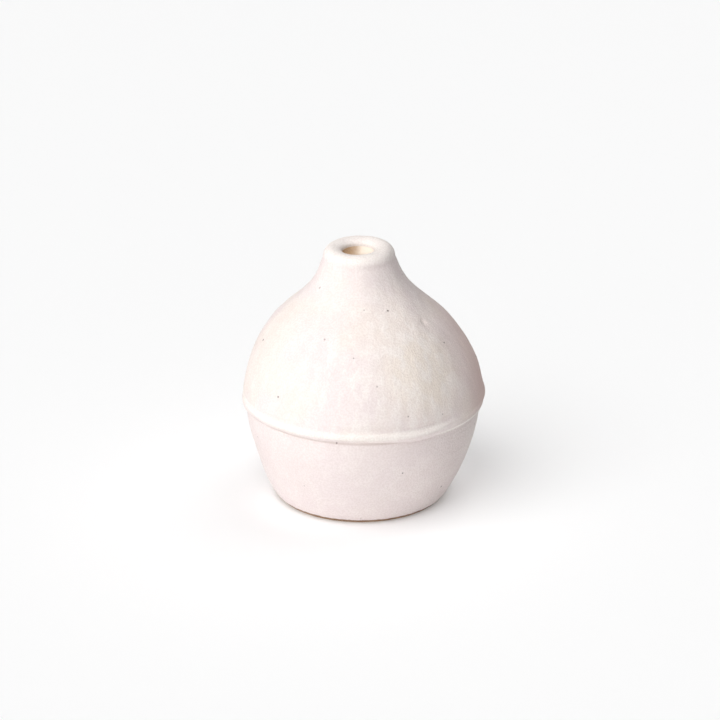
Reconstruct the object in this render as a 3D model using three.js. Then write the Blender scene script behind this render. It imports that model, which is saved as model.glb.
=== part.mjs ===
// Hand-built ceramic bud vase: two clay shells luted together at a raised seam, a thick pierced
// neck collar luted on top, a white engobe coat outside and a liner glaze inside.
// Millimetres, +Z up. The origin is the centre of the flat underside, on the table.
//
// Every piece is a solid of revolution. Its section is a closed outline in the (radius, height)
// plane, cut from two master lines: the finished outside (over the engobe) and the finished
// inside (over the liner glaze). Changing a size below moves both lines and all that fits them.

import * as THREE from "three";

// ---- Driving dimensions ------------------------------------------------------------------

const SEGMENTS = 40; // flats round the axis

// Overall form, measured over the engobe
const HEIGHT = 79.6; // table to the crest of the lip
const FOOT_RADIUS = 26; // flat underside of the foot
const FOOT_RISE = 0.9; // bare clay between the table and the engobe's lower edge
const BELLY_RADIUS = 37.2; // upper shell where it meets the seam bead
const SEAM_HEIGHT = 32.4; // mid-plane of the seam bead
const SHOULDER_RADIUS = 22.4; // where the dome turns into the neck
const NECK_LENGTH = 18.8; // crest of the lip down to that turn
const NECK_RADIUS = 11; // neck just under the lip

// Fullness of the bowl, dome and neck: how far each curve runs straight on from its ends
const FOOT_STEP = 0.9; // engobe's lower edge beyond the underside
const FOOT_FLARE = 2.6; // run of the bowl as it leaves the foot
const FOOT_ANGLE = THREE.MathUtils.degToRad(45); // bowl's lean from upright there
const BOWL_UPRIGHT = 11.4; // length over which the bowl comes upright under the seam
const DOME_UPRIGHT = 5.8; // length over which the dome leaves the seam upright
const SHOULDER_ANGLE = THREE.MathUtils.degToRad(51); // dome's lean from upright at the turn
const SHOULDER_FULLNESS = 14.3; // straight run of the dome before the turn
const NECK_SWEEP = 13; // straight run of the neck after the turn
const NECK_UPRIGHT = 4; // length over which the neck comes up to the lip
const NECK_ANGLE = THREE.MathUtils.degToRad(26); // neck's lean from upright under the lip

// Seam bead: an oval coil pressed over the joint
const BEAD_HEIGHT = 3.8; // full height of the coil's oval section
const BEAD_DEPTH = 1.6; // half width of that section, across the wall
const BEAD_PROUD = 0.4; // crest of the coil beyond the dome
const BEAD_OVERHANG = 1; // dome's edge beyond the top of the bowl
const BEAD_SEAT = 0.8; // depth of the coil's seat in the two walls

// Lip and bore
const LIP_DROP = 3.4; // height of the lip's outer rounding
const LIP_CREST_RADIUS = 8.2; // radius of the lip's highest ring
const MOUTH_DEPTH = 1.4; // crest down to the start of the straight bore
const BORE_RADIUS = 4.9; // stem hole
const BORE_LENGTH = 5.5; // straight part of the stem hole
const THROAT_SWEEP = 6; // straight run of the throat after the dome's inside
const THROAT_UPRIGHT = 4; // length over which the throat comes upright under the bore

// Walls, layers and joints
const WALL = 5.2; // clay and liner together, under the engobe
const FLOOR = 6; // clay and liner together, over the table
const FLOOR_CORNER = 7; // inside rounding between floor and wall
const COAT = 0.4; // engobe
const LINER = 0.3; // liner glaze
const SLIP = 0.6; // joining slip between two clay pieces
const SEAM_BEVEL = 1.6; // rise of the bevelled rims from outside to inside
const COLLAR_LENGTH = 13.2; // crest of the lip down to the neck joint
const COAT_INTO_BORE = 0.5; // engobe carried over the mouth's edge
const BOND_GAP = 0.05; // keeps layers that touch from overlapping

// ---- Outline helpers ---------------------------------------------------------------------

const point = (radius, height) => new THREE.Vector2(radius, height);

// The way down and outwards at a lean from upright.
const downward = (lean) => point(Math.sin(lean), -Math.cos(lean));

// Points along a cubic curve from start to end, leaving towards and arriving from its handles.
function curve(start, startHandle, endHandle, end, steps) {
  return new THREE.CubicBezierCurve(start, startHandle, endHandle, end).getPoints(steps);
}

// Points round part of an oval: its centre, half axes, and the two angles in radians.
function arc(centre, halfWidth, halfHeight, from, to, steps) {
  return Array.from({ length: steps + 1 }, (_, i) => {
    const angle = THREE.MathUtils.lerp(from, to, i / steps);
    return point(
      centre.x + halfWidth * Math.cos(angle),
      centre.y + halfHeight * Math.sin(angle),
    );
  });
}

// Chains runs of points, dropping a point that repeats the one before it.
function chain(...runs) {
  return runs.flat().filter((p, i, all) => i === 0 || p.distanceTo(all[i - 1]) > 1e-6);
}

const down = (line) => [...line].reverse();

// The line moved sideways by a distance: to its left as it runs, mitred at its corners.
function offset(line, distance) {
  const lefts = line.slice(1).map((p, i) => {
    const along = p.clone().sub(line[i]).normalize();
    return point(-along.y, along.x);
  });
  return line.map((p, i) => {
    const before = lefts[Math.max(i - 1, 0)];
    const after = lefts[Math.min(i, lefts.length - 1)];
    const mitre = before.clone().add(after).divideScalar(1 + before.dot(after));
    return p.clone().addScaledVector(mitre, distance);
  });
}

// Radius of a rising line at a height, carried on straight beyond its ends.
function radiusAt(line, height) {
  const above = line.findIndex((p) => p.y >= height);
  const i = above < 0 ? line.length - 1 : Math.max(above, 1);
  const share = (height - line[i - 1].y) / (line[i].y - line[i - 1].y);
  return THREE.MathUtils.lerp(line[i - 1].x, line[i].x, share);
}

// The stretch of a rising line between two heights.
function between(line, low, high) {
  const margin = 0.02; // a point this near a cut is replaced by the cut
  const kept = line.filter((p) => p.y > low + margin && p.y < high - margin);
  return [point(radiusAt(line, low), low), ...kept, point(radiusAt(line, high), high)];
}

// A piece of the vase: a closed outline turned round the axis. The outline runs anticlockwise,
// with radius to the right and height up, and starts on the axis if the piece reaches it.
function turned(name, outline, material) {
  const section = outline[0].x === 0 ? outline : [...outline, outline[0]];
  const geometry = new THREE.LatheGeometry(section, SEGMENTS);
  geometry.rotateX(Math.PI / 2);
  const mesh = new THREE.Mesh(geometry, material);
  mesh.name = name;
  return mesh;
}

// ---- Finished outside, from the foot up to the lip's crest --------------------------------

const beadCentre = point(BELLY_RADIUS + BEAD_PROUD - BEAD_DEPTH, SEAM_HEIGHT);
const beadAngleAt = (radius) => Math.acos((radius - beadCentre.x) / BEAD_DEPTH);
const beadLine = arc(
  beadCentre,
  BEAD_DEPTH,
  BEAD_HEIGHT / 2,
  -beadAngleAt(BELLY_RADIUS - BEAD_OVERHANG),
  beadAngleAt(BELLY_RADIUS),
  6,
);
const notch = beadLine[0];
const domeEdge = beadLine[beadLine.length - 1];

const coatFoot = point(FOOT_RADIUS + FOOT_STEP, FOOT_RISE);
const bowlLine = curve(
  coatFoot,
  coatFoot.clone().addScaledVector(downward(Math.PI - FOOT_ANGLE), FOOT_FLARE),
  point(notch.x, notch.y - BOWL_UPRIGHT),
  notch,
  8,
);

const turn = point(SHOULDER_RADIUS, HEIGHT - NECK_LENGTH);
const domeLine = curve(
  domeEdge,
  point(domeEdge.x, domeEdge.y + DOME_UPRIGHT),
  turn.clone().addScaledVector(downward(SHOULDER_ANGLE), SHOULDER_FULLNESS),
  turn,
  9,
);

const lipStart = point(NECK_RADIUS, HEIGHT - LIP_DROP);
const neckLine = curve(
  turn,
  turn.clone().addScaledVector(downward(SHOULDER_ANGLE), -NECK_SWEEP),
  lipStart.clone().addScaledVector(downward(NECK_ANGLE), NECK_UPRIGHT),
  lipStart,
  6,
);

const lipLine = arc(
  point(LIP_CREST_RADIUS, lipStart.y),
  NECK_RADIUS - LIP_CREST_RADIUS,
  LIP_DROP,
  0,
  Math.PI / 2,
  4,
);

// Over the crest and down into the bore, which the engobe enters a little way.
const boreTop = HEIGHT - MOUTH_DEPTH;
const coatEnd = point(BORE_RADIUS, boreTop - COAT_INTO_BORE);
const mouthLine = arc(
  point(LIP_CREST_RADIUS, boreTop),
  LIP_CREST_RADIUS - BORE_RADIUS,
  MOUTH_DEPTH,
  Math.PI / 2,
  Math.PI,
  4,
);

const outside = chain(bowlLine, beadLine, domeLine, neckLine, lipLine);
const coated = chain(outside, mouthLine, [coatEnd]);

// ---- Finished inside, from the floor up to the engobe's inner edge --------------------------

const wallLine = offset(chain(bowlLine, domeLine), COAT + WALL);
const cornerTop = FLOOR + FLOOR_CORNER;
const cornerRadius = radiusAt(wallLine, cornerTop);
const cornerLine = curve(
  point(cornerRadius - FLOOR_CORNER, FLOOR),
  point(cornerRadius - FLOOR_CORNER / 2, FLOOR),
  point(cornerRadius - FLOOR_CORNER / 6, cornerTop - FLOOR_CORNER / 2),
  point(cornerRadius, cornerTop),
  3,
);
const wallTop = wallLine[wallLine.length - 1];
const boreFoot = point(BORE_RADIUS, boreTop - BORE_LENGTH);
const throatLine = curve(
  wallTop,
  wallTop.clone().addScaledVector(downward(SHOULDER_ANGLE), -THROAT_SWEEP),
  point(BORE_RADIUS, boreFoot.y - THROAT_UPRIGHT),
  boreFoot,
  4,
);
const linerTop = coatEnd.y - BOND_GAP;
const lined = chain(
  [point(0, FLOOR)],
  cornerLine,
  between(wallLine, cornerTop, wallTop.y),
  throatLine,
  [point(BORE_RADIUS, linerTop)],
);

// ---- Clay surfaces: the two finished lines less the layers on them -------------------------

const crest = outside.length - 1;
const clayCoated = offset(coated, COAT + BOND_GAP);
const clayOutside = clayCoated.slice(0, crest + 1);
const clayMouth = clayCoated.slice(crest);
const clayLined = offset(lined, -LINER - BOND_GAP);
const clayInside = clayLined.slice(1);

// The coil beds on a straight seat, cut in from the line between its two edges.
const beadStart = bowlLine.length - 1;
const clayBead = clayOutside.slice(beadStart, beadStart + beadLine.length);
const seatFoot = clayBead[0].y;
const seatHead = clayBead[clayBead.length - 1].y;
const seatLine = offset([clayBead[0], clayBead[clayBead.length - 1]], BEAD_SEAT);
const seat = (height) => point(radiusAt(seatLine, height), height);
const besideSeat = (height) => point(seat(height).x - BOND_GAP, height);

// Heights of a bevelled face of the seam joint, at a distance above its middle.
const seamFace = (above) => ({
  outer: SEAM_HEIGHT - SEAM_BEVEL / 2 + above,
  inner: SEAM_HEIGHT + SEAM_BEVEL / 2 + above,
});
const bowlRim = seamFace(-SLIP / 2 - BOND_GAP);
const domeRim = seamFace(SLIP / 2 + BOND_GAP);
const neckJoint = HEIGHT - COLLAR_LENGTH;

// ---- Materials -----------------------------------------------------------------------------

const finish = (color, roughness) =>
  new THREE.MeshStandardMaterial({ color, roughness, metalness: 0 });
const clay = finish(0xcfae8c, 0.95);
const slip = finish(0xd9bfa2, 0.95);
const engobe = finish(0xefe4de, 0.85);
const liner = finish(0xdcbf9f, 0.45);

// ---- Pieces --------------------------------------------------------------------------------

// Lower shell with the floor and the bare foot.
function lowerBowl() {
  return turned(
    "lower_bowl",
    chain(
      [point(0, 0), point(FOOT_RADIUS, 0)],
      between(clayOutside, clayOutside[0].y, seatFoot - BOND_GAP),
      [besideSeat(seatFoot - BOND_GAP), besideSeat(bowlRim.outer)],
      down(between(clayInside, clayInside[0].y, bowlRim.inner)),
      [clayLined[0]],
    ),
    clay,
  );
}

// Slip squeezed between the two bevelled rims.
function seamSlip() {
  const low = seamFace(-SLIP / 2);
  const high = seamFace(SLIP / 2);
  return turned(
    "seam_slip",
    chain(
      [besideSeat(low.outer), besideSeat(high.outer)],
      down(between(clayInside, low.inner, high.inner)),
    ),
    slip,
  );
}

// Coil pressed over the joint: round outside, flat where it beds on the two walls.
function seamBead() {
  return turned("seam_bead", chain(clayBead, [seat(seatHead), seat(seatFoot)]), clay);
}

// Upper shell, from the seam to the neck joint.
function upperDome() {
  const top = neckJoint - SLIP / 2 - BOND_GAP;
  return turned(
    "upper_dome",
    chain(
      [besideSeat(domeRim.outer), besideSeat(seatHead + BOND_GAP)],
      between(clayOutside, seatHead + BOND_GAP, top),
      down(between(clayInside, domeRim.inner, top)),
    ),
    clay,
  );
}

// Slip between the dome's opening and the neck collar.
function neckSlip() {
  const low = neckJoint - SLIP / 2;
  const high = neckJoint + SLIP / 2;
  return turned(
    "neck_slip",
    chain(between(clayOutside, low, high), down(between(clayInside, low, high))),
    slip,
  );
}

// Thick neck pierced by the stem hole, with the rounded lip.
function neckCollar() {
  const foot = neckJoint + SLIP / 2 + BOND_GAP;
  return turned(
    "neck_collar",
    chain(
      between(clayOutside, foot, clayOutside[crest].y),
      clayMouth,
      down(between(clayInside, foot, linerTop)),
    ),
    clay,
  );
}

// White engobe over everything but the foot, turned in over the mouth's edge.
function engobeCoat() {
  return turned("engobe_coat", chain(coated, down(offset(coated, COAT))), engobe);
}

// Liner glaze poured over the whole inside, up to the engobe's inner edge.
function linerGlaze() {
  return turned("liner_glaze", chain(offset(lined, -LINER), down(lined)), liner);
}

const vase = new THREE.Group();
vase.add(
  lowerBowl(),
  seamSlip(),
  seamBead(),
  upperDome(),
  neckSlip(),
  neckCollar(),
  engobeCoat(),
  linerGlaze(),
);

export default vase;
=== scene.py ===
"""Ceramic bud vase: the looks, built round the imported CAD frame.

Each CAD node is a faceted solid of revolution. Its half section is read back from the frame,
smoothed, turned finely and bent by one shared hand-made warp, so the layers stay nested as
they are in the CAD. The engobe, which is what shows, also gets its own fine surface relief.
Metres, +Z up. An azimuth is measured from the front (-Y) towards the right (+X).
"""

import math

import bpy
import numpy as np
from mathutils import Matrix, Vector, noise


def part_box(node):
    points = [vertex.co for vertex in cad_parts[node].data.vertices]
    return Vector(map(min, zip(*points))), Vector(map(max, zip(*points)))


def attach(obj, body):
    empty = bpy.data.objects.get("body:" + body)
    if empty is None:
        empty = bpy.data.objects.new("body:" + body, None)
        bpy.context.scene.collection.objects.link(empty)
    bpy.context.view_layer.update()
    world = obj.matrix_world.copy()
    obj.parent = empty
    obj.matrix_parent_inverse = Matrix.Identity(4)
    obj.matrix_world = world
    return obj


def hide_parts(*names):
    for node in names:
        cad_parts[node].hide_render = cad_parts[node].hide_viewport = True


MM = 0.001

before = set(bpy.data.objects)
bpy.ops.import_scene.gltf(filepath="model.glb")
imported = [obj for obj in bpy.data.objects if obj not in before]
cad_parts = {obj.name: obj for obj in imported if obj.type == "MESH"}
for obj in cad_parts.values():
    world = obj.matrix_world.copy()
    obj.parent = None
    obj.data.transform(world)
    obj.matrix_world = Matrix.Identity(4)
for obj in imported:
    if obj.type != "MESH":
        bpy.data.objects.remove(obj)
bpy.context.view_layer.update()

# ---- Places taken from the frame -----------------------------------------------------------

coat_low, coat_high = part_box("engobe_coat")
bead_low, bead_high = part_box("seam_bead")
neck_low, neck_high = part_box("neck_collar")
HEIGHT = coat_high.z
BELLY_RADIUS = coat_high.x
FOOT_LINE = coat_low.z
SEAM = (bead_low.z + bead_high.z) / 2
BEAD_TOP = bead_high.z
NECK_FOOT = neck_low.z

# ---- Hand-made shape: driving values --------------------------------------------------------

# Sideways lean of the axis: (share of the height, shift to the right).
LEAN = (
    (0.00, 0.0 * MM),
    (0.25, 0.75 * MM),
    (0.50, 0.75 * MM),
    (0.78, -0.1 * MM),
    (1.00, -0.5 * MM),
)
OVAL = 0.25 * MM  # more radius than round at the front and back, and less at the sides
SEAM_REACH = 9 * MM  # how far up and down the wall follows the seam
LIP_TILT = math.radians(1.5)  # the lip rises to the right
LIP_NOD = math.radians(3)  # and falls towards the front
BORE_SHIFT = 0.5 * MM  # stem hole off the neck's middle, to the left

# Where the joined seam strays from level: (azimuth in degrees, half width in degrees, rise).
SEAM_STRAYS = (
    (-95, 28, -1.9 * MM),
    (-3, 15, 0.5 * MM),
    (27, 12, -0.45 * MM),
    (62, 20, 0.2 * MM),
    (140, 30, 0.7 * MM),
    (205, 25, -0.6 * MM),
)

# Broad flats left by paddling: (azimuth in degrees, height, half width, half height, depth).
FLATS = (
    (56, 48 * MM, 15 * MM, 16 * MM, 0.5 * MM),
    (92, 50 * MM, 12 * MM, 13 * MM, 0.2 * MM),
    (-35, 45 * MM, 13 * MM, 14 * MM, 0.2 * MM),
    (140, 44 * MM, 14 * MM, 15 * MM, 0.45 * MM),
    (200, 48 * MM, 15 * MM, 13 * MM, 0.4 * MM),
    (240, 46 * MM, 13 * MM, 15 * MM, 0.4 * MM),
    (20, 14 * MM, 12 * MM, 9 * MM, 0.2 * MM),
    (170, 16 * MM, 14 * MM, 9 * MM, 0.3 * MM),
    (235, 15 * MM, 13 * MM, 8 * MM, 0.25 * MM),
)

# Nicks in the dome's face, one to each quarter of the way round.
NICK_COUNT = 4
FIRST_NICK = 55  # degrees
NICK_SIZE = 0.9 * MM
NICK_DEPTH = 0.3 * NICK_SIZE

# A soft upright ridge on the front of the dome, right of the middle.
RIDGE_OFFSET = 15.2 * MM  # to the right, at RIDGE_LEVEL
RIDGE_LEVEL = 56 * MM
RIDGE_SLOPE = 0.11  # how far it moves to the right for each step down
RIDGE_FADE = (66 * MM, 72 * MM)  # heights between which it dies out
RIDGE_HALF_WIDTH = 3.2 * MM
RIDGE_RISE = 0.16 * MM

# Iron specks, wound round the vase as seeds are round a flower head.
SPECK_COUNT = 34
GOLDEN_TURN = 137.5  # degrees from one speck to the next
SPECK_FREE = 5 * MM  # clear of specks below the lip's crest

# Fineness of the pieces: sides of the turned solid, and spacing of its rows.
HIDDEN_SIDES = 120
FACE_SIDES = 360
CLAY_STEP = 1.2 * MM
COAT_BACK_STEP = 2.5 * MM
COAT_STEP = 0.55 * MM
BEAD_STEP = 0.25 * MM
BEAD_ZONE = 4 * MM  # above and below the seam, where rows are closest

# ---- Half sections ---------------------------------------------------------------------------


def meridian(node):
    """A node's half section in the XZ plane: its (radius, height) corners, anticlockwise."""
    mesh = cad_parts[node].data
    flat = 1e-6
    corner = {
        v.index: (round(v.co.x, 7), round(v.co.z, 7))
        for v in mesh.vertices
        if abs(v.co.y) < flat and v.co.x > -flat
    }
    links = {}
    for edge in mesh.edges:
        a, b = (corner.get(i) for i in edge.vertices)
        if a and b and a != b:
            links.setdefault(a, set()).add(b)
            links.setdefault(b, set()).add(a)
    ends = sorted(c for c in links if len(links[c]) == 1)
    start = ends[0] if ends else max(links, key=lambda c: (-c[1], c[0]))
    line = [start]
    while True:
        following = [c for c in links[line[-1]] if c not in line]
        if not following:
            break
        line.append(following[0])
    points = np.array(line)
    around = np.roll(points, -1, axis=0)
    area = (points[:, 0] * around[:, 1] - around[:, 0] * points[:, 1]).sum()
    if area < 0:
        points = points[::-1] if ends else np.roll(points[::-1], 1, axis=0)
    return points, not ends


def split_at_corners(points, closed, sharpest=45):
    """The outline as runs that meet at its sharp corners, which smoothing leaves alone."""
    if closed:
        points = np.vstack([points, points[:1]])
    runs = [[points[0]]]
    for before, here, after in zip(points[:-2], points[1:-1], points[2:]):
        one, two = here - before, after - here
        turn = math.atan2(one[0] * two[1] - one[1] * two[0], one @ two)
        runs[-1].append(here)
        if abs(turn) > math.radians(sharpest):
            runs.append([here])
    runs[-1].append(points[-1])
    return [np.array(run) for run in runs]


def smoothed(run, step_at):
    """A run resampled along a smooth curve through its points, without its last point.

    step_at gives the spacing wanted at a height.
    """
    gaps = np.linalg.norm(np.diff(run, axis=0), axis=1)
    slopes = np.diff(run, axis=0) / gaps[:, None]
    tangents = np.empty_like(run)
    tangents[1:-1] = (
        slopes[:-1] * gaps[1:, None] + slopes[1:] * gaps[:-1, None]
    ) / (gaps[:-1] + gaps[1:])[:, None]
    tangents[0], tangents[-1] = slopes[0], slopes[-1]
    if len(run) > 2:
        tangents[0] = 2 * slopes[0] - tangents[1]
        tangents[-1] = 2 * slopes[-1] - tangents[-2]
    made = []
    for i, gap in enumerate(gaps):
        count = max(1, math.ceil(gap / step_at((run[i][1] + run[i + 1][1]) / 2)))
        t = np.arange(count)[:, None] / count
        made.append(
            (2 * t**3 - 3 * t**2 + 1) * run[i]
            + (t**3 - 2 * t**2 + t) * gap * tangents[i]
            + (3 * t**2 - 2 * t**3) * run[i + 1]
            + (t**3 - t**2) * gap * tangents[i + 1]
        )
    return np.vstack(made)


COAT_RUNS = split_at_corners(*meridian("engobe_coat"))
NOTCH = COAT_RUNS[0][-1][1]  # height of the crease between the bowl and the bead

# ---- The shared hand-made warp ----------------------------------------------------------------


def bump(distance, reach):
    """1 at no distance, falling smoothly to nothing past the reach."""
    return np.exp(-((distance / reach) ** 2))


def ease(value, low, high):
    """0 up to low, 1 from high on, smooth between."""
    share = np.clip((value - low) / (high - low), 0, 1)
    return share * share * (3 - 2 * share)


def lean_at(height):
    """The axis' shift to the right, eased between the values of LEAN."""
    shift = np.zeros_like(height)
    for (share, start), (next_share, end) in zip(LEAN, LEAN[1:]):
        shift += (end - start) * ease(height, share * HEIGHT, next_share * HEIGHT)
    return shift + LEAN[0][1]


def apart(azimuth, other):
    """Signed angle between two azimuths, the short way."""
    return (azimuth - other + math.pi) % (2 * math.pi) - math.pi


def seam_stray(azimuth):
    """How far the seam lies above its level at an azimuth."""
    rise = 0.0
    for degrees, half_width, amount in SEAM_STRAYS:
        away = apart(azimuth, math.radians(degrees))
        rise = rise + amount * bump(away, math.radians(half_width))
    return rise


def warped(radius, azimuth, height):
    """Where a point of the ideal vase goes on the hand-made one."""
    standing = ease(height, 0, 3 * MM)  # the underside stays flat on the table
    body = bump(height - SEAM, 28 * MM)
    swell = OVAL * np.cos(2 * azimuth) * body
    for degrees, level, half_width, half_height, depth in FLATS:
        across = apart(azimuth, math.radians(degrees)) * BELLY_RADIUS
        swell = swell - depth * bump(across, half_width) * bump(height - level, half_height)
    out = radius * (1 + standing * swell / BELLY_RADIUS)
    x, y = out * np.sin(azimuth), -out * np.cos(azimuth)
    lift = seam_stray(azimuth) * bump(height - SEAM, SEAM_REACH) * out / BELLY_RADIUS
    at_lip = ease(height, NECK_FOOT, HEIGHT)
    lift = lift + at_lip * (math.tan(LIP_TILT) * x + math.tan(LIP_NOD) * y)
    inner = bump(radius, 7 * MM) * at_lip
    x = x + lean_at(height) - BORE_SHIFT * inner
    return x, y, height + lift * standing


# ---- The engobe's own relief -------------------------------------------------------------------


def wandering(place, across, along, seed):
    """Smooth noise on the wall, with features of the given width and height."""
    return noise.noise(Vector((place.x / across, place.y / across, place.z / along + seed)))


def facing(azimuth, degrees, half_width):
    """1 at an azimuth in degrees, falling smoothly to nothing past the half width."""
    return float(bump(apart(azimuth, math.radians(degrees)), math.radians(half_width)))


def relief(radius, azimuth, height):
    """How far the engobe's face stands out from the smooth form at one point."""
    place = Vector((radius * math.sin(azimuth), -radius * math.cos(azimuth), height))
    dome = float(ease(height, BEAD_TOP, BEAD_TOP + 5 * MM))
    bowl = 1 - float(ease(height, NOTCH - 1.5 * MM, NOTCH))
    right = facing(azimuth, 60, 50) + facing(azimuth, 210, 60)
    scrapes = wandering(place, 2.6 * MM, 10 * MM, 3.1)
    dabs = wandering(place, 4.2 * MM, 6 * MM, 8.7)
    lines = wandering(place, 14 * MM, 0.9 * MM, 5.3)
    waves = wandering(place, 12 * MM, 10 * MM, 1.9)
    grit = wandering(place, 1.1 * MM, 1.1 * MM, 6.4)
    return (
        dome * (0.03 + 0.07 * right) * MM * scrapes
        + dome * (0.03 + 0.10 * right) * MM * dabs
        + bowl * 0.05 * MM * lines
        + 0.14 * MM * waves
        + 0.02 * MM * grit
        + ridge(place)
        + dents(place)
        + bead_relief(azimuth, height - NOTCH)
    )


def coat_radius_at(height):
    """The engobe's outer radius at a height, from its CAD corners."""
    line = np.vstack(COAT_RUNS[:2])
    rising = line[: int(line[:, 1].argmax()) + 1]
    return float(np.interp(height, rising[:, 1], rising[:, 0]))


def ridge(place):
    """The rise of the ridge, where two paddled faces of the dome meet."""
    if place.y > 0:
        return 0.0
    middle = RIDGE_OFFSET + RIDGE_SLOPE * (RIDGE_LEVEL - place.z)
    begun = float(ease(place.z, BEAD_TOP, BEAD_TOP + 8 * MM))
    left = 1 - float(ease(place.z, *RIDGE_FADE))
    return RIDGE_RISE * begun * left * float(bump(place.x - middle, RIDGE_HALF_WIDTH))


def nick_places():
    """The middle of each nick, higher and lower on the dome by turns."""
    places = []
    for number in range(NICK_COUNT):
        turn = math.radians(FIRST_NICK + number * 360 / NICK_COUNT)
        share = 0.8 - 0.25 * (number % 2)
        level = BEAD_TOP + share * (NECK_FOOT - BEAD_TOP)
        out = coat_radius_at(level)
        places.append(Vector((out * math.sin(turn), -out * math.cos(turn), level)))
    return places


NICKS = nick_places()


def dents(place):
    """The small nicks in the dome's face."""
    depth = 0.0
    for centre in NICKS:
        depth += NICK_DEPTH * float(bump((place - centre).length, NICK_SIZE))
    return -depth


def bead_relief(azimuth, above):
    """The coil's own shape round the seam, by azimuth and by height above the crease."""
    band = facing(azimuth, 25, 21) + 0.8 * facing(azimuth, 160, 35)
    ledge = facing(azimuth, 68, 24) + 0.8 * facing(azimuth, 250, 30)
    smear = facing(azimuth, -45, 45) + 0.8 * facing(azimuth, 115, 20)

    def roll(height, reach, amount):
        return amount * MM * float(bump(above - height * MM, reach * MM))

    return (
        band * (roll(2.1, 0.9, 0.30) + roll(4.1, 0.9, -0.45))
        + ledge * (roll(3.8, 1.6, 0.15) + roll(1.5, 0.8, -0.30) + roll(0.0, 0.6, 0.75))
        + facing(azimuth, 88, 26) * roll(2.6, 2.4, 0.45)
        + smear * roll(4.2, 2.2, 0.14)
        + (1 - min(ledge, 1)) * roll(-0.25, 0.4, -0.20)
    )


# ---- Meshes ------------------------------------------------------------------------------------


def outline(node, steps):
    """A node's smooth half section: points, the way out of the solid at each, and run numbers."""
    corners, closed = meridian(node)
    runs = split_at_corners(corners, closed)
    parts = [smoothed(run, steps(i)) for i, run in enumerate(runs)]
    number = np.concatenate([np.full(len(part), i) for i, part in enumerate(parts)])
    points = np.vstack(parts)
    if not closed:
        points = np.vstack([points, corners[-1:]])
        number = np.append(number, number[-1])
    ahead, behind = np.roll(points, -1, axis=0), np.roll(points, 1, axis=0)
    along = ahead - behind
    along /= np.linalg.norm(along, axis=1)[:, None]
    return points, np.column_stack([along[:, 1], -along[:, 0]]), number, closed


def turned(name, node, sides, steps, raised=None):
    """A smooth, warped solid of revolution that stands for a CAD node."""
    points, outward, number, closed = outline(node, steps)
    angles = 2 * math.pi * np.arange(sides) / sides
    radius = np.repeat(points[:, :1], sides, axis=1)
    height = np.repeat(points[:, 1:], sides, axis=1)
    if raised:
        amount = raised(points, number, angles)
        radius = radius + amount * outward[:, :1]
        height = height + amount * outward[:, 1:]
    x, y, z = warped(radius, angles[None, :], height)
    vertices = np.stack([x, y, z], axis=-1)
    rows = len(points)
    on_axis = [] if closed else [0, rows - 1]
    index = np.arange(rows * sides).reshape(rows, sides)
    places = [tuple(v) for v in vertices.reshape(-1, 3)]
    faces = []
    for row in range(rows if closed else rows - 1):
        here, there = index[row], index[(row + 1) % rows]
        for side in range(sides):
            beside = (side + 1) % sides
            if row in on_axis:
                faces.append((here[0], there[beside], there[side]))
            elif (row + 1) in on_axis:
                faces.append((here[side], here[beside], there[0]))
            else:
                faces.append((here[side], here[beside], there[beside], there[side]))
    mesh = bpy.data.meshes.new(name)
    mesh.from_pydata(places, [], [tuple(int(i) for i in f) for f in faces])
    drop_loose(mesh)
    mesh.shade_smooth()
    mesh.set_sharp_from_angle(angle=math.radians(38))
    piece = bpy.data.objects.new(name, mesh)
    bpy.context.scene.collection.objects.link(piece)
    return piece


def drop_loose(mesh):
    """Removes the axis rows' unused copies of their one shared point."""
    used = {i for face in mesh.polygons for i in face.vertices}
    if len(used) < len(mesh.vertices):
        order = sorted(used)
        place = {old: new for new, old in enumerate(order)}
        points = [tuple(mesh.vertices[i].co) for i in order]
        faces = [[place[i] for i in face.vertices] for face in mesh.polygons]
        mesh.clear_geometry()
        mesh.from_pydata(points, [], faces)


# ---- Materials ---------------------------------------------------------------------------------


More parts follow.
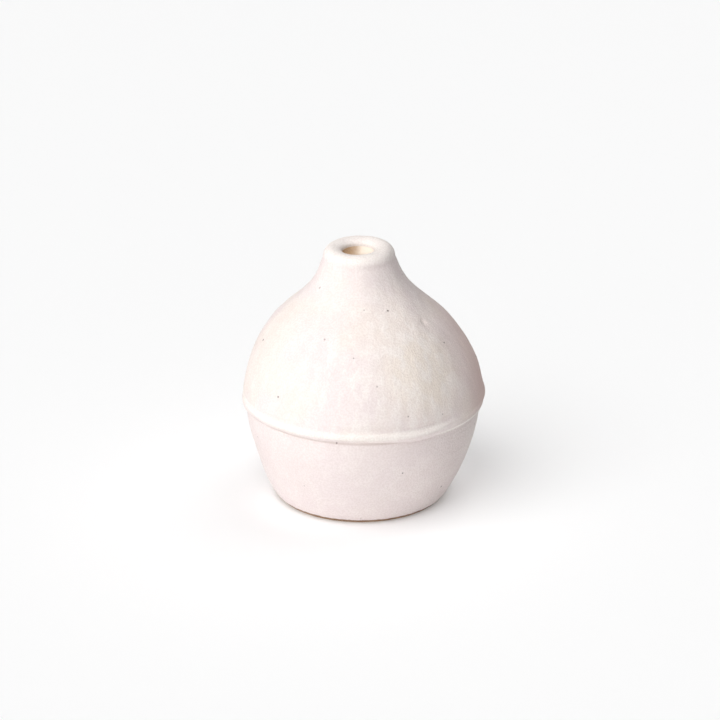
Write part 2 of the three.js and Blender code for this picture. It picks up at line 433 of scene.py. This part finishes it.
class Shader:
    """One material's node tree, with short calls for the nodes it is built from."""

    def __init__(self, name):
        self.material = bpy.data.materials.new(name)
        self.material.use_nodes = True
        self.tree = self.material.node_tree
        self.surface = self.tree.nodes["Principled BSDF"]
        self.place = self.node("ShaderNodeTexCoord").outputs["Object"]

    def node(self, kind, inputs=None, **settings):
        """A new node with these settings, its sockets linked or set."""
        made = self.tree.nodes.new(kind)
        for key, value in settings.items():
            setattr(made, key, value)
        for socket, value in (inputs or {}).items():
            self.feed(made.inputs[socket], value)
        return made

    def feed(self, socket, value):
        """Links another node's output to the socket, or sets the socket's value."""
        if isinstance(value, bpy.types.NodeSocket):
            self.tree.links.new(value, socket)
        else:
            socket.default_value = value

    def stretched(self, x, y, z):
        """The place with its axes scaled; a small factor draws features out that way."""
        made = self.node(
            "ShaderNodeVectorMath",
            {0: self.place, 1: (x, y, z)},
            operation="MULTIPLY",
        )
        return made.outputs[0]

    def noise(self, size, detail=2.0, place=None):
        """Noise from about 0.2 to 0.8, with features of the given size."""
        inputs = {"Vector": place or self.place, "Scale": 1 / size, "Detail": detail}
        return self.node("ShaderNodeTexNoise", inputs).outputs["Fac"]

    def math(self, operation, a, b=0.0):
        """A Math node's result."""
        return self.node("ShaderNodeMath", {0: a, 1: b}, operation=operation).outputs[0]

    def span(self, value, low, high, start=0.0, end=1.0):
        """The value's stretch from low to high, clamped and mapped from start to end."""
        inputs = {0: value, 1: low, 2: high, 3: start, 4: end}
        made = self.node("ShaderNodeMapRange", inputs, interpolation_type="SMOOTHSTEP")
        return made.outputs[0]

    def ring(self, level, middle, flat, edge, share):
        """The share within a height of a level ring, eased to nothing at the edge."""
        off = self.math("ABSOLUTE", self.math("SUBTRACT", level, middle))
        return self.span(off, flat, edge, share, 0.0)

    def mix(self, share, one, other):
        """One colour, turning to the other as the share goes from 0 to 1."""
        made = self.node("ShaderNodeMix", data_type="RGBA", blend_type="MIX")
        for name, value in zip(("Factor", "A", "B"), (share, one, other)):
            sockets = [s for s in made.inputs if s.name == name and s.enabled]
            self.feed(sockets[0], value)
        return [s for s in made.outputs if s.enabled][0]

    def axis(self, letter):
        """One coordinate of the place."""
        return self.node("ShaderNodeSeparateXYZ", {0: self.place}).outputs[letter]

    def height(self):
        """The height above the table."""
        return self.axis("Z")

    def away(self, x, y, z):
        """Distance from a place."""
        made = self.node(
            "ShaderNodeVectorMath", {0: self.place, 1: (x, y, z)}, operation="DISTANCE"
        )
        return made.outputs["Value"]

    def bumps(self, *layers):
        """Stacks (height texture, depth in metres) layers into one normal."""
        normal = None
        for texture, depth in layers:
            inputs = {"Height": texture, "Distance": depth, "Strength": 1.0}
            if normal:
                inputs["Normal"] = normal
            normal = self.node("ShaderNodeBump", inputs).outputs[0]
        self.feed(self.surface.inputs["Normal"], normal)

    def finish(self, colour, roughness, specular):
        """Sets the surface and gives the material back."""
        self.feed(self.surface.inputs["Base Color"], colour)
        self.feed(self.surface.inputs["Roughness"], roughness)
        self.surface.inputs["Specular IOR Level"].default_value = specular
        return self.material


def colour(red, green, blue):
    """A linear colour with full alpha."""
    return (red, green, blue, 1.0)


def speck_mask(shader):
    """Iron specks from foot to neck, and a sparse scatter of fainter ones, as one darkness."""
    mask = 0.0
    reach = HEIGHT - SPECK_FREE - FOOT_LINE
    for number in range(SPECK_COUNT):
        azimuth = np.array(math.radians(number * GOLDEN_TURN))
        level = FOOT_LINE + (number + 0.5) / SPECK_COUNT * reach
        size = (0.27 + 0.04 * (number % 4)) * MM
        dark = 0.25 + 0.15 * (number % 5)
        x, y, z = warped(np.array(coat_radius_at(level)), azimuth, np.array(level))
        away = shader.away(float(x), float(y), float(z))
        spot = shader.span(away, 0.5 * size, 1.3 * size, dark, 0.0)
        mask = shader.math("MAXIMUM", spot, mask)
    cells = shader.node(
        "ShaderNodeTexVoronoi", {"Vector": shader.place, "Scale": 1 / (5.5 * MM)}
    )
    chosen = shader.math("GREATER_THAN", cells.outputs["Color"], 0.72)
    dot = shader.span(cells.outputs["Distance"], 0.028, 0.06, 0.5, 0.0)
    return shader.math("MAXIMUM", mask, shader.math("MULTIPLY", dot, chosen))


def engobe():
    """Matt white engobe: sandy grain, pink and cream drifts, iron specks, painted light and shade.
    """
    s = Shader("engobe")
    pink = colour(0.785, 0.698, 0.690)
    cream = colour(0.825, 0.742, 0.662)
    pale = colour(0.870, 0.815, 0.780)
    painted_highlight = colour(0.900, 0.855, 0.810)
    shade_mauve = colour(0.760, 0.585, 0.550)
    bead_shade = colour(0.560, 0.400, 0.380)
    sand = colour(0.620, 0.520, 0.490)
    clay = colour(0.260, 0.160, 0.105)
    iron = colour(0.100, 0.070, 0.060)

    level = s.height()
    above = s.span(level, NOTCH - 1 * MM, NOTCH + 3 * MM)
    lower = s.math("SUBTRACT", 1.0, above)

    # Pink, drifting to cream on the dome, most of all right of its ridge.
    drift = s.span(s.noise(18 * MM, 2), 0.40, 0.64, 0.0, 0.6)
    creamy = s.span(s.away(19 * MM, -27 * MM, 50 * MM), 7 * MM, 20 * MM, 0.95, 0.0)
    warm = s.math("MAXIMUM", drift, creamy)
    on_dome = s.span(above, 0.0, 1.0, 0.15, 1.0)
    base = s.mix(s.math("MULTIPLY", warm, on_dome), pink, cream)

    # Brushed streaks, strongest on the dome's right.
    streaks = s.noise(2.8 * MM, 2, s.stretched(1, 1, 0.22))
    on_right = s.span(s.away(12 * MM, -34 * MM, 48 * MM), 16 * MM, 34 * MM, 0.65, 0.25)
    streaked = s.math("MULTIPLY", s.span(streaks, 0.42, 0.68), on_right)
    base = s.mix(s.math("MULTIPLY", streaked, above), base, pale)
    clouds = s.span(s.noise(6 * MM, 3), 0.4, 0.65, 0.0, 0.25)
    base = s.mix(clouds, base, pale)

    # Painted shade on the far right of the dome and of the bead, painted light on the bowl's
    # lower right, and a painted highlight on the lip.
    # Painted shade, darker and more mauve, on the far right of the dome.
    dome_right_shade = s.span(s.away(BELLY_RADIUS, 8 * MM, 40 * MM), 10 * MM, 36 * MM, 0.85, 0.0)
    base = s.mix(s.math("MULTIPLY", dome_right_shade, above), base, shade_mauve)
    # Painted shade at the far right of the bead, just above the crease.
    bead_edge_shade = s.span(s.away(BELLY_RADIUS, -6 * MM, BEAD_TOP), 3 * MM, 17 * MM, 0.45, 0.0)
    above_crease = s.span(level, NOTCH + 0.3 * MM, NOTCH + 0.9 * MM)
    base = s.mix(s.math("MULTIPLY", bead_edge_shade, above_crease), base, bead_shade)
    # Painted light on the lower bowl's right.
    low_right_light = s.span(s.away(BELLY_RADIUS, -6 * MM, 20 * MM), 4 * MM, 16 * MM, 0.6, 0.0)
    base = s.mix(s.math("MULTIPLY", low_right_light, lower), base, pale)
    # Painted light: the lip paler towards its top, where it faces up.
    at_lip = s.span(level, HEIGHT - 3.5 * MM, HEIGHT - 1 * MM, 0.0, 0.65)
    base = s.mix(at_lip, base, painted_highlight)

    # Round the bead, a painted highlight on its shoulder until a painted highlight along the ledge
    # takes over at the far right, and stained by the clay in the crease at the front.
    sideways = s.axis("X")
    # Painted highlight: a pale band along the bead's shoulder, short of the far right.
    shoulder = s.ring(level, NOTCH + 2.5 * MM, 0.6 * MM, 1.3 * MM, 0.6)
    short_of_right = s.span(sideways, 24 * MM, 28 * MM, 1.0, 0.0)
    base = s.mix(s.math("MULTIPLY", shoulder, short_of_right), base, painted_highlight)
    # Painted highlight: a bright line along the ledge at the bead's foot, at the far right.
    ledge = s.ring(level, NOTCH - 0.1 * MM, 0.4 * MM, 0.7 * MM, 1.0)
    far_right = s.span(sideways, 21 * MM, 27 * MM)
    base = s.mix(s.math("MULTIPLY", ledge, far_right), base, painted_highlight)
    crease = s.ring(level, NOTCH - 0.15 * MM, 0.15 * MM, 0.5 * MM, 0.25)
    from_left = s.span(sideways, -31 * MM, -26 * MM)
    to_right = s.span(sideways, 8 * MM, 18 * MM, 1.0, 0.0)
    at_front = s.math("MULTIPLY", from_left, to_right)
    base = s.mix(s.math("MULTIPLY", crease, at_front), base, clay)

    # Sand in the slip, the bare ragged line at the foot, and the specks.
    grain = s.noise(0.55 * MM, 2)
    base = s.mix(s.span(grain, 0.35, 0.65, 0.28, 0.0), base, sand)
    ragged = s.math("MULTIPLY", s.noise(2 * MM, 3), 0.8 * MM)
    foot = s.math("ADD", ragged, level)
    bare = s.span(foot, FOOT_LINE + 0.5 * MM, FOOT_LINE + 0.9 * MM, 0.9, 0.0)
    base = s.mix(bare, base, clay)
    specks = speck_mask(s)
    base = s.mix(specks, base, iron)

    lines = s.noise(0.8 * MM, 2, s.stretched(0.12, 0.12, 1))
    s.bumps(
        (grain, 0.14 * MM),
        (s.noise(0.25 * MM, 1), 0.05 * MM),
        (s.math("MULTIPLY", lines, lower), 0.13 * MM),
        (s.math("MULTIPLY", streaks, above), 0.12 * MM),
        (specks, -0.12 * MM),
    )
    return s.finish(base, s.span(grain, 0.3, 0.7, 0.92, 0.74), 0.25)


def bare_clay():
    """Unglazed brown stoneware: coarse, warm, with dark and pale grog."""
    s = Shader("bare_clay")
    brown = colour(0.30, 0.19, 0.12)
    toasted = colour(0.39, 0.26, 0.17)
    dark_grog = colour(0.20, 0.12, 0.07)
    pale_grog = colour(0.52, 0.39, 0.28)
    base = s.mix(s.span(s.noise(6 * MM, 3), 0.35, 0.65), brown, toasted)
    grain = s.noise(0.5 * MM, 3)
    base = s.mix(s.span(grain, 0.35, 0.65, 0.4, 0.0), base, dark_grog)
    cells = s.node("ShaderNodeTexVoronoi", {"Vector": s.place, "Scale": 1 / (1.6 * MM)})
    grog = s.span(cells.outputs["Distance"], 0.1, 0.22, 1.0, 0.0)
    base = s.mix(s.math("MULTIPLY", grog, 0.6), base, pale_grog)
    s.bumps((grain, 0.15 * MM), (grog, 0.06 * MM), (s.noise(4 * MM, 2), 0.2 * MM))
    return s.finish(base, s.span(grain, 0.3, 0.7, 0.95, 0.8), 0.2)


def joining_slip():
    """Slip of the same clay, finer and paler than the walls."""
    s = Shader("joining_slip")
    damp = colour(0.55, 0.40, 0.27)
    dry = colour(0.63, 0.47, 0.33)
    base = s.mix(s.span(s.noise(3 * MM, 3), 0.35, 0.65), damp, dry)
    grain = s.noise(0.35 * MM, 2)
    s.bumps((grain, 0.08 * MM))
    return s.finish(base, s.span(grain, 0.3, 0.7, 0.95, 0.85), 0.2)


def liner_glaze():
    """Thin satin glaze over the clay, with painted light: cream up the right of the stem hole."""
    s = Shader("liner_glaze")
    tan = colour(0.60, 0.41, 0.25)
    straw = colour(0.72, 0.53, 0.34)
    rust = colour(0.42, 0.26, 0.15)
    run = colour(0.92, 0.84, 0.74)
    base = s.mix(s.span(s.noise(4 * MM, 3), 0.35, 0.65), tan, straw)
    grain = s.noise(0.6 * MM, 3)
    base = s.mix(s.span(grain, 0.35, 0.62, 0.35, 0.0), base, rust)
    # Painted light: cream up the stem hole's right side, where its wall faces the light.
    edge = s.math("ADD", s.axis("X"), s.math("MULTIPLY", s.noise(1.5 * MM, 2), 2 * MM))
    spread = s.span(edge, -2.8 * MM, 2.4 * MM)
    in_hole = s.span(s.height(), HEIGHT - 12 * MM, HEIGHT - 7 * MM)
    base = s.mix(s.math("MULTIPLY", spread, in_hole), base, run)
    s.bumps((grain, 0.10 * MM), (s.noise(3 * MM, 2), 0.25 * MM))
    return s.finish(base, s.span(grain, 0.3, 0.7, 0.6, 0.42), 0.35)


# ---- Pieces --------------------------------------------------------------------------------------

COAT_FACE_RUNS = 2  # the engobe's face: foot to notch, then notch to bore


def coat_steps(run):
    """Row spacing of the engobe: fine on its face, finest round the bead, coarse behind."""
    if run >= COAT_FACE_RUNS:
        return lambda height: COAT_BACK_STEP
    return lambda height: BEAD_STEP if abs(height - SEAM) < BEAD_ZONE else COAT_STEP


def coat_relief(points, number, angles):
    """The relief over the engobe's face, fading out at the foot and in the bore."""
    amount = np.zeros((len(points), len(angles)))
    for row, (radius, height) in enumerate(points):
        if number[row] >= COAT_FACE_RUNS:
            continue
        fade = float(ease(height, FOOT_LINE, FOOT_LINE + 2 * MM))
        fade *= float(ease(radius, 5 * MM, 8 * MM))
        amount[row] = [fade * relief(radius, angle, height) for angle in angles]
    return amount


materials = {
    "clay": bare_clay(),
    "slip": joining_slip(),
    "engobe": engobe(),
    "liner": liner_glaze(),
}


def add_piece(node, slot, sides, steps, raised=None):
    """Makes the piece that stands for one CAD node, with its finish and its body."""
    piece = turned(node + "_fired", node, sides, steps, raised)
    piece.data.materials.append(materials[slot])
    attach(piece, "root")
    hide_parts(node)
    return piece


def clay_steps(run):
    """Even row spacing, whatever the run or the height."""
    return lambda height: CLAY_STEP


for node in ("lower_bowl", "seam_bead", "upper_dome", "neck_collar"):
    add_piece(node, "clay", HIDDEN_SIDES, clay_steps)
for node in ("seam_slip", "neck_slip"):
    add_piece(node, "slip", HIDDEN_SIDES, clay_steps)
add_piece("liner_glaze", "liner", HIDDEN_SIDES, clay_steps)
add_piece("engobe_coat", "engobe", FACE_SIDES, coat_steps, coat_relief)

# ---- Floor, light and camera ---------------------------------------------------------------------


def pale_floor():
    """A plain pale sheet under the vase, wide enough to reach the horizon."""
    reach = 12.0
    mesh = bpy.data.meshes.new("floor")
    corners = [(-reach, -reach, 0), (reach, -reach, 0), (reach, reach, 0), (-reach, reach, 0)]
    mesh.from_pydata(corners, [], [(0, 1, 2, 3)])
    floor = bpy.data.objects.new("floor", mesh)
    bpy.context.scene.collection.objects.link(floor)
    s = Shader("pale_floor")
    s.surface.inputs["Base Color"].default_value = colour(0.93, 0.93, 0.93)
    s.surface.inputs["Roughness"].default_value = 0.9
    s.surface.inputs["Specular IOR Level"].default_value = 0.1
    mesh.materials.append(s.material)


def panel(name, azimuth, elevation, spread, strength, shadow=True):
    """A far, wide source. A strength of 1 turns a white surface facing it full white."""
    turn, rise = math.radians(azimuth), math.radians(elevation)
    flat = math.cos(rise)
    toward = Vector((math.sin(turn) * flat, -math.cos(turn) * flat, math.sin(rise)))
    data = bpy.data.lights.new(name, "SUN")
    data.angle = math.radians(spread)
    data.energy = strength * math.pi
    data.use_shadow = shadow
    light = bpy.data.objects.new(name, data)
    light.rotation_mode = "QUATERNION"
    light.rotation_quaternion = toward.to_track_quat("Z", "Y")
    bpy.context.scene.collection.objects.link(light)


def studio_air(strength, seen):
    """Faint even white light from all round, which looks as pale as the floor beyond its edge."""
    world = bpy.data.worlds.new("studio_air")
    bpy.context.scene.world = world
    world.use_nodes = True
    tree = world.node_tree
    background = tree.nodes["Background"]
    background.inputs["Color"].default_value = colour(1, 1, 1)
    sight = tree.nodes.new("ShaderNodeLightPath")
    brightness = tree.nodes.new("ShaderNodeMath")
    brightness.operation = "MULTIPLY_ADD"
    brightness.inputs[1].default_value = seen - strength
    brightness.inputs[2].default_value = strength
    tree.links.new(sight.outputs["Is Camera Ray"], brightness.inputs[0])
    tree.links.new(brightness.outputs["Value"], background.inputs["Strength"])


def camera(elevation, distance, lens, aim):
    """The front view, looking slightly down along +Y."""
    rise = math.radians(elevation)
    back = Vector((0, -math.cos(rise), math.sin(rise)))
    data = bpy.data.cameras.new("camera")
    data.sensor_width, data.lens = 36, lens
    data.clip_start, data.clip_end = 0.01, 50
    seer = bpy.data.objects.new("camera", data)
    seer.location = Vector(aim) + back * distance
    seer.rotation_mode = "QUATERNION"
    seer.rotation_quaternion = back.to_track_quat("Z", "Y")
    bpy.context.scene.collection.objects.link(seer)
    bpy.context.scene.camera = seer


pale_floor()
panel("window", azimuth=-45, elevation=54, spread=55, strength=0.5)
panel("back_window", azimuth=130, elevation=62, spread=40, strength=0.25)
panel("ceiling", azimuth=0, elevation=88, spread=60, strength=0.1)
panel("low_fill", azimuth=-27, elevation=8, spread=36, strength=0.45, shadow=False)
panel("side_fill", azimuth=-76, elevation=45, spread=36, strength=0.3, shadow=False)
studio_air(strength=0.03, seen=0.96)
camera(elevation=22, distance=0.737, lens=120, aim=(-0.2 * MM, 0, 42.6 * MM))
bpy.context.scene.view_settings.view_transform = "Standard"
